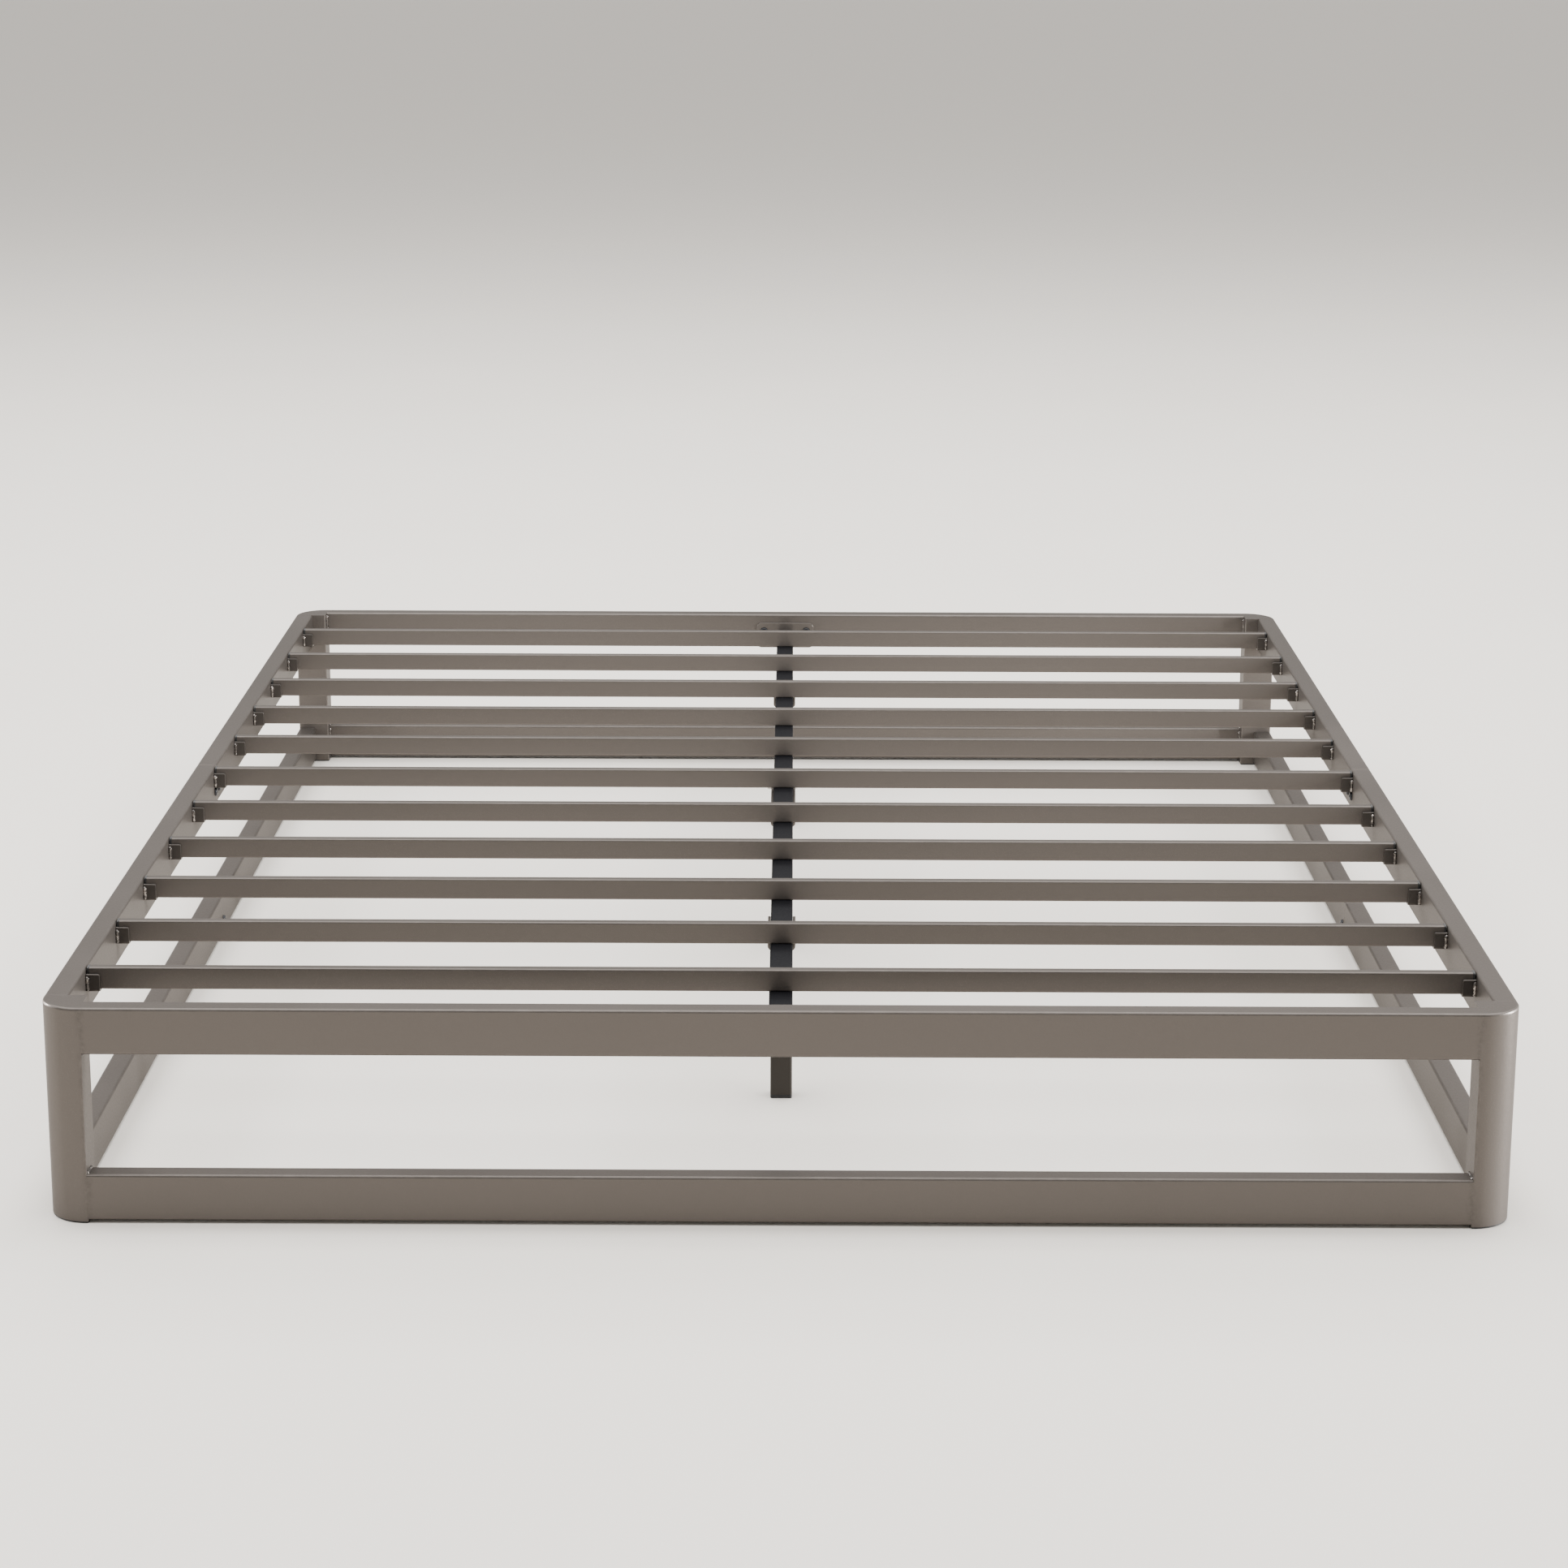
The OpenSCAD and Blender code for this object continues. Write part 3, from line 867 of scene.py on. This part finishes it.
class BED_OT_cradles(bpy.types.Operator):
    """Build the bent steel cradles that hold the slats' ends"""

    bl_idname = "bed.cradles"
    bl_label = "Slat Cradles"

    def execute(self, context):
        shape = context.scene.bed_shape
        for side, x_side in (("left", -1), ("right", 1)):
            for end, slats in (("foot", SLATS[:6]), ("head", SLATS[6:])):
                node = f"{side}_cradles_{end}_half"
                whole = bmesh.new()
                for slat in slats:
                    cradle = self.bent_strip(shape)
                    y = middle(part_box(slat)).y
                    turn = Matrix.Translation((0, y, 0)) @ Matrix.Scale(-x_side, 4, (1, 0, 0))
                    place(whole, cradle, turn)
                # The cradles wear the frame paint darkened as painted shade.
                make_piece(
                    node + "_steel", whole, "taupe_paint", [node], edge=0.35 * MM, finish="cradle_painted_shade"
                )
        return {"FINISHED"}

    def bent_strip(self, shape):
        """One cradle on the left rail's inner face, at Y 0: a U with flared rims."""
        low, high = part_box("left_cradles_foot_half")
        slat_low, slat_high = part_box(SLATS[0])
        half = (slat_high.y - slat_low.y) / 2 + 0.4 * MM + shape.sheet
        flare = 0.7 * MM
        lip = high.z - 1.6 * MM
        outline = (
            (-half - flare, high.z),
            (-half, lip),
            (-half, low.z),
            (half, low.z),
            (half, lip),
            (half + flare, high.z),
        )
        bm = bmesh.new()
        verts = [bm.verts.new((low.x, y, z)) for y, z in outline]
        edges = [bm.edges.new(pair) for pair in zip(verts, verts[1:])]
        grown = bmesh.ops.extrude_edge_only(bm, edges=edges)["geom"]
        moved = [item for item in grown if isinstance(item, bmesh.types.BMVert)]
        bmesh.ops.translate(bm, vec=(high.x - low.x, 0, 0), verts=moved)
        bends = at_height(edges_along(bm, "X"), low.z)
        round_edges(bm, bends, shape.sheet + 0.9 * MM, 4)
        free_corners = [
            vert
            for vert in bm.verts
            if vert.co.x > high.x - ABOVE_ZERO and vert.co.z > high.z - ABOVE_ZERO
        ]
        bmesh.ops.bevel(
            bm,
            geom=free_corners,
            offset=1.4 * MM,
            segments=3,
            profile=0.5,
            affect="VERTICES",
            material=-1,
        )
        bmesh.ops.recalc_face_normals(bm, faces=bm.faces[:])
        web = min(bm.faces, key=lambda face: face.calc_center_median().z)
        if web.normal.z > 0:
            bmesh.ops.reverse_faces(bm, faces=bm.faces[:])
        bmesh.ops.solidify(bm, geom=bm.faces[:], thickness=shape.sheet)
        bmesh.ops.recalc_face_normals(bm, faces=bm.faces[:])
        return bm


class BED_OT_beam(bpy.types.Operator):
    """Build the centre beam and the plates at its ends"""

    bl_idname = "bed.beam"
    bl_label = "Centre Beam"

    def execute(self, context):
        shape = context.scene.bed_shape
        for end in ("foot", "head"):
            node = f"centre_beam_{end}_half"
            low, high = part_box(node)
            bm = tube(low, high, "Y", shape.beam_radius, shape.beam_wall)
            make_piece(node + "_tube", bm, "black_paint", [node], edge=0.3 * MM)
        whole = bmesh.new()
        low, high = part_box("beam_end_plates")
        thickness = high.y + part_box("centre_beam_foot_half")[0].y
        for side in SIDES:
            plate = block((low.x, high.y - thickness, low.z), (high.x, high.y, high.z))
            round_edges(plate, edges_along(plate, "Y"), 7 * MM, 6)
            place(whole, plate, Matrix.Scale(side, 4, (0, 1, 0)))
        make_piece("beam_end_plate_pair", whole, "taupe_paint", ["beam_end_plates"], edge=0.5 * MM)
        return {"FINISHED"}


def channel(low, high, sheet, bend):
    """A U-bent channel along Y, open upwards, that fills a box."""
    bm = block(low, high)
    underside = [edge for edge in edges_along(bm, "Y") if edge.verts[0].co.z < (low.z + high.z) / 2]
    round_edges(bm, underside, bend, 5)
    bm.normal_update()
    opened = faces_across(bm, "Y")
    opened += [face for face in bm.faces if face.normal.z > 0.999]
    bmesh.ops.delete(bm, geom=opened, context="FACES")
    bmesh.ops.recalc_face_normals(bm, faces=bm.faces[:])
    web = min(bm.faces, key=lambda face: face.calc_center_median().z)
    if web.normal.z > 0:
        bmesh.ops.reverse_faces(bm, faces=bm.faces[:])
    bmesh.ops.solidify(bm, geom=bm.faces[:], thickness=sheet)
    bmesh.ops.recalc_face_normals(bm, faces=bm.faces[:])
    return bm


LEGS = ("foot_centre_leg", "middle_centre_leg", "head_centre_leg")
SUPPORT_SHEET = 3 * MM
SUPPORT_BEND = 5 * MM


class BED_OT_beam_supports(bpy.types.Operator):
    """Build the beam's legs, their feet, the saddles and the splice"""

    bl_idname = "bed.beam_supports"
    bl_label = "Beam Supports"

    def execute(self, context):
        shape = context.scene.bed_shape
        for node in LEGS:
            low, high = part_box(node)
            bm = tube(low, high, "Z", shape.beam_radius, shape.beam_wall)
            make_piece(node + "_tube", bm, "leg_paint", [node], edge=0.3 * MM)
        low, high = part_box("beam_splice")
        splice = channel(low, high, SUPPORT_SHEET, SUPPORT_BEND)
        make_piece("beam_splice_channel", splice, "taupe_paint", ["beam_splice"], edge=0.5 * MM)
        whole = bmesh.new()
        low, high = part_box("leg_saddles")
        half_length = high.y - middle(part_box(LEGS[2])).y
        for leg in (LEGS[0], LEGS[2]):
            y = middle(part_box(leg)).y
            saddle_low = Vector((low.x, y - half_length, low.z))
            saddle_high = Vector((high.x, y + half_length, high.z))
            place(whole, channel(saddle_low, saddle_high, SUPPORT_SHEET, SUPPORT_BEND))
        make_piece("leg_saddle_channels", whole, "taupe_paint", ["leg_saddles"], edge=0.5 * MM)
        self.feet(shape)
        return {"FINISHED"}

    def feet(self, shape):
        whole = bmesh.new()
        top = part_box("leg_feet")[1].z
        gap = shape.beam_wall + 0.2 * MM
        for leg in LEGS:
            low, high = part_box(leg)
            pad = block((low.x, low.y, 0.0), (high.x, high.y, low.z))
            round_edges(pad, edges_along(pad, "Z"), shape.beam_radius, 4)
            place(whole, pad)
            plug = block(
                (low.x + gap, low.y + gap, low.z - 0.5 * MM),
                (high.x - gap, high.y - gap, top),
            )
            round_edges(plug, edges_along(plug, "Z"), 1 * MM, 3)
            place(whole, plug)
        make_piece("leg_foot_plugs", whole, "black_plastic", ["leg_feet"], edge=0.5 * MM)


def bolt(head_radius, head_height, shank_radius, shank_length):
    """A button-headed socket bolt that stands on Z 0 with its shank below."""
    crown = head_radius * 0.72
    profile = (
        (0.0, -shank_length),
        (shank_radius - 0.6 * MM, -shank_length),
        (shank_radius, -shank_length + 0.6 * MM),
        (shank_radius, 0.0),
        (head_radius, 0.0),
        (head_radius, head_height * 0.22),
        (head_radius * 0.95, head_height * 0.55),
        (head_radius * 0.86, head_height * 0.84),
        (crown, head_height),
        (0.0, head_height),
    )
    bm = turned(profile)
    sink_socket(bm, head_height, shank_radius * 1.28, 2.5 * MM)
    return bm


def nut(across_corners, thickness, bore):
    """A chamfered hexagon nut that stands on Z 0."""
    bm = bmesh.new()
    bmesh.ops.create_cone(
        bm,
        cap_ends=False,
        segments=6,
        radius1=across_corners / 2,
        radius2=across_corners / 2,
        depth=thickness,
    )
    inner = bmesh.ops.create_cone(
        bm,
        cap_ends=False,
        segments=24,
        radius1=bore,
        radius2=bore,
        depth=thickness,
    )
    bore_faces = {face for vert in inner["verts"] for face in vert.link_faces}
    bmesh.ops.reverse_faces(bm, faces=list(bore_faces))
    for height in (-thickness / 2, thickness / 2):
        bmesh.ops.bridge_loops(bm, edges=at_height(bm.edges, height))
    bmesh.ops.recalc_face_normals(bm, faces=bm.faces[:])
    bmesh.ops.translate(bm, vec=(0, 0, thickness / 2), verts=bm.verts)
    return bm


class BED_OT_fasteners(bpy.types.Operator):
    """Build the bolts and nuts"""

    bl_idname = "bed.fasteners"
    bl_label = "Fasteners"

    def execute(self, context):
        self.rail_bolts()
        self.plate_bolts()
        self.beam_bolts()
        return {"FINISHED"}

    def rail_bolts(self):
        """Both sides' bolts, two at the corners and two beside the split of each rail."""
        whole = bmesh.new()
        low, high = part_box("rail_bolts")
        radius = 5.5 * MM
        below_middle = 7.5 * MM
        beside_split = 14 * MM
        for level in ("upper", "lower"):
            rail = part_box(f"left_{level}_rail_foot_half")
            inner = rail[1].x
            z = middle(rail).z
            split = (rail[1].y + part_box(f"left_{level}_rail_head_half")[0].y) / 2
            for y, drop in (
                (low.y + radius, 0.0),
                (split - beside_split, below_middle),
                (split + beside_split, below_middle),
                (high.y - radius, 0.0),
            ):
                for x_side in SIDES:
                    turn = Matrix.Rotation(-x_side * math.pi / 2, 4, "Y")
                    spot = Matrix.Translation((-x_side * inner, y, z - drop))
                    place(whole, bolt(radius, 3 * MM, 3 * MM, 14 * MM), spot @ turn)
        make_piece("rail_button_bolts", whole, "black_steel", ["rail_bolts"])

    def plate_bolts(self):
        whole = bmesh.new()
        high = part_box("plate_bolts")[1]
        radius = 6 * MM
        plate_face = -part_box("centre_beam_foot_half")[0].y
        for y_side in SIDES:
            turn = Matrix.Rotation(y_side * math.pi / 2, 4, "X")
            for x_side in SIDES:
                x = x_side * (high.x - radius)
                spot = Matrix.Translation((x, y_side * plate_face, high.z - radius))
                place(whole, bolt(radius, 3.5 * MM, 3.9 * MM, 12 * MM), spot @ turn)
        make_piece("beam_plate_bolts", whole, "black_steel", ["plate_bolts"])

    def beam_bolts(self):
        whole = bmesh.new()
        low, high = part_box("leg_saddles")
        beam_middle = middle(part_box("centre_beam_foot_half")).z
        leg_y = middle(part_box(LEGS[2])).y
        turn = Matrix.Rotation(math.pi / 2, 4, "Y")
        nut_thickness = 5 * MM
        splice_bolt_y = 60 * MM
        shank = 39 * MM
        for y in (-leg_y, -splice_bolt_y, splice_bolt_y, leg_y):
            spot = Matrix.Translation((high.x, y, beam_middle))
            place(whole, bolt(5.5 * MM, 3.3 * MM, 3 * MM, shank), spot @ turn)
            spot = Matrix.Translation((low.x - nut_thickness, y, beam_middle))
            place(whole, nut(11.6 * MM, nut_thickness, 3.05 * MM), spot @ turn)
        make_piece("beam_cross_bolts", whole, "zinc_steel", ["beam_bolts_and_nuts"])


class BED_OT_hidden_steel(bpy.types.Operator):
    """Finish the stubs and sleeves inside the rails"""

    bl_idname = "bed.hidden_steel"
    bl_label = "Stubs and Sleeves"

    def execute(self, context):
        for node, slot in (
            ("upper_rail_stubs", "taupe_paint"),
            ("lower_rail_stubs", "taupe_paint"),
            ("upper_rail_sleeves", "zinc_steel"),
            ("lower_rail_sleeves", "zinc_steel"),
        ):
            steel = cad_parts[node]
            steel.data.materials.clear()
            steel.data.materials.append(FINISHES[slot])
        return {"FINISHED"}


class BED_OT_welds(bpy.types.Operator):
    """Lay the weld beads of the end frames and the cradles"""

    bl_idname = "bed.welds"
    bl_label = "Weld Beads"

    def execute(self, context):
        shape = context.scene.bed_shape
        dice = random.Random(7)
        self.corner_welds(shape, dice)
        self.cradle_welds(shape, dice)
        self.beam_welds(shape, dice)
        return {"FINISHED"}

    def corner_welds(self, shape, dice):
        whole = bmesh.new()
        for end in ("foot", "head"):
            for level in ("top", "bottom"):
                low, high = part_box(f"{end}_{level}_rail")
                inner = high.y if end == "foot" else low.y
                outer = low.y if end == "foot" else high.y
                flat = high.z if level == "bottom" else low.z
                from_z = low.z + 4 * MM
                to_z = high.z - 4 * MM
                for x_side in SIDES:
                    x = x_side * high.x
                    weld_bead(whole, (x, inner, from_z), (x, inner, to_z), shape.bead, dice)
                    reach = outer + (inner - outer) * 0.12
                    weld_bead(whole, (x, inner, flat), (x, reach, flat), shape.bead * 0.8, dice)
        make_piece("corner_weld_beads", whole, "taupe_paint", [], finish="weld")

    def cradle_welds(self, shape, dice):
        whole = bmesh.new()
        low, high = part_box("left_cradles_foot_half")
        row = middle(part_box(SLATS[5])).y - middle(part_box(SLATS[0])).y
        sink = 1.2 * MM
        from_rims = 1.5 * MM
        half = (high.y - low.y - row) / 2 - 0.5 * MM
        for x_side in SIDES:
            x = x_side * (-low.x - sink)
            for slat in SLATS:
                y = middle(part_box(slat)).y
                for y_side in SIDES:
                    edge = y + y_side * half
                    weld_bead(
                        whole,
                        (x, edge, low.z + from_rims),
                        (x, edge, high.z - from_rims),
                        2.5 * MM,
                        dice,
                        pitch=1.7 * MM,
                    )
        make_piece("cradle_weld_beads", whole, "taupe_paint", [], finish="weld")

    def beam_welds(self, shape, dice):
        whole = bmesh.new()
        inset = 3 * MM
        thick, thin = 1.8 * MM, 1.6 * MM
        beam_low, beam_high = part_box("centre_beam_head_half")
        left, right = beam_low.x + inset, beam_high.x - inset
        bottom, top = beam_low.z + inset, beam_high.z - inset
        for y_side in SIDES:
            y = y_side * beam_high.y
            for x in (beam_low.x, beam_high.x):
                weld_bead(whole, (x, y, bottom), (x, y, top), thick, dice)
            weld_bead(whole, (left, y, beam_low.z), (right, y, beam_low.z), thin, dice)
        for leg in LEGS:
            low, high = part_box(leg)
            for x in (low.x, high.x):
                front, back = low.y + inset, high.y - inset
                weld_bead(whole, (x, front, high.z), (x, back, high.z), thin, dice)
            for y in (low.y, high.y):
                left, right = low.x + inset, high.x - inset
                weld_bead(whole, (left, y, high.z), (right, y, high.z), thin, dice)
        make_piece("beam_weld_beads", whole, "black_paint", [])


class BED_OT_stage(bpy.types.Operator):
    """Set the floor, the lights and the camera"""

    bl_idname = "bed.stage"
    bl_label = "Stage"

    def execute(self, context):
        stage = context.scene.bed_stage
        dark = bpy.data.collections.new("out_of_window_light")
        dark.objects.link(self.floor(stage))
        dark.collection_objects[0].light_linking.link_state = "EXCLUDE"
        self.light("sky_panel", (0.0, 1.0, 4.6), (0.0, 1.0, 0.0), (9.0, 9.0), 1050.0)
        self.light("right_window", (3.6, -0.7, 0.7), (0.7, -1.0, 0.15), (0.25, 1.4), 480.0, dark)
        self.light("left_window", (-3.4, 0.5, 0.7), (-0.7, -1.0, 0.15), (0.25, 1.4), 280.0, dark)
        self.world(context)
        self.camera(context, stage)
        return {"FINISHED"}

    def floor(self, stage):
        bm = bmesh.new()
        half_width = 80.0
        below_pads = 0.1 * MM
        bmesh.ops.create_grid(bm, x_segments=1, y_segments=1, size=half_width)
        mesh = bpy.data.meshes.new("floor")
        bm.to_mesh(mesh)
        bm.free()
        plain = Finish("plain_floor")
        soft = plain.noise(1.5, detail=2.0)
        colour = stage.floor_colour
        plain.set(
            Base_Color=plain.mix(soft, shade(colour, 0.99), shade(colour, 1.01)),
            Roughness=plain.spread(soft, 0.3, 0.7, 0.55, 0.6),
        )
        mesh.materials.append(plain.material)
        floor = bpy.data.objects.new("floor", mesh)
        floor.location.z = -below_pads
        bpy.context.scene.collection.objects.link(floor)
        return floor

    def light(self, name, spot, target, size, power, dark=None):
        """A panel of light that leaves the objects of a collection dark."""
        data = bpy.data.lights.new(name, "AREA")
        data.shape = "RECTANGLE"
        data.size, data.size_y = size
        data.energy = power
        lamp = bpy.data.objects.new(name, data)
        lamp.location = spot
        lamp.visible_camera = False
        lamp.light_linking.receiver_collection = dark
        lamp.rotation_mode = "QUATERNION"
        lamp.rotation_quaternion = (Vector(target) - Vector(spot)).to_track_quat("-Z", "Y")
        bpy.context.scene.collection.objects.link(lamp)

    def world(self, context):
        """A soft room: bright behind the head end, dimmer behind the camera."""
        world = bpy.data.worlds.new("soft_room")
        world.use_nodes = True
        tree = world.node_tree
        background = tree.nodes["Background"]
        direction = tree.nodes.new("ShaderNodeTexCoord").outputs["Generated"]
        apart = tree.nodes.new("ShaderNodeSeparateXYZ")
        tree.links.new(direction, apart.inputs[0])
        glow = tree.nodes.new("ShaderNodeMapRange")
        glow.inputs["From Min"].default_value = -1.0
        glow.inputs["From Max"].default_value = 1.0
        glow.inputs["To Min"].default_value = 0.55
        glow.inputs["To Max"].default_value = 1.0
        tree.links.new(apart.outputs["Y"], glow.inputs["Value"])
        tree.links.new(glow.outputs["Result"], background.inputs["Strength"])
        background.inputs["Color"].default_value = (1.0, 0.985, 0.965, 1.0)
        context.scene.world = world

    def camera(self, context, stage):
        data = bpy.data.cameras.new("camera")
        data.sensor_width = 36.0
        data.lens = stage.focal_length
        camera = bpy.data.objects.new("camera", data)
        look = (
            Matrix.Rotation(stage.camera_yaw, 4, "Z")
            @ Matrix.Rotation(math.pi / 2 - stage.camera_pitch, 4, "X")
            @ Matrix.Rotation(stage.camera_roll, 4, "Z")
        )
        camera.matrix_world = Matrix.Translation(stage.camera_place) @ look
        context.scene.collection.objects.link(camera)
        context.scene.camera = camera


class BED_PT_panel(bpy.types.Panel):
    """The bed frame's pieces, in the order that they are built"""

    bl_label = "Bed Frame"
    bl_space_type = "VIEW_3D"
    bl_region_type = "UI"
    bl_category = "Bed Frame"

    def draw(self, context):
        for operator in OPERATORS:
            self.layout.operator(operator.bl_idname)


OPERATORS = (
    BED_OT_finishes,
    BED_OT_end_rails,
    BED_OT_side_rails,
    BED_OT_posts,
    BED_OT_post_caps,
    BED_OT_glides,
    BED_OT_slats,
    BED_OT_cradles,
    BED_OT_beam,
    BED_OT_beam_supports,
    BED_OT_fasteners,
    BED_OT_hidden_steel,
    BED_OT_welds,
    BED_OT_stage,
)
GROUPS = {
    "bed_shape": BedFrameShape,
    "bed_finish": BedFrameFinish,
    "bed_stage": BedFrameStage,
}


def register():
    for group in GROUPS.values():
        bpy.utils.register_class(group)
    for name, group in GROUPS.items():
        setattr(bpy.types.Scene, name, bpy.props.PointerProperty(type=group))
    for operator in OPERATORS:
        bpy.utils.register_class(operator)
    bpy.utils.register_class(BED_PT_panel)


def unregister():
    bpy.utils.unregister_class(BED_PT_panel)
    for operator in reversed(OPERATORS):
        bpy.utils.unregister_class(operator)
    for name in GROUPS:
        delattr(bpy.types.Scene, name)
    for group in GROUPS.values():
        bpy.utils.unregister_class(group)


def main():
    register()
    for operator in OPERATORS:
        family, action = operator.bl_idname.split(".")
        getattr(getattr(bpy.ops, family), action)()


if __name__ == "__main__":
    main()
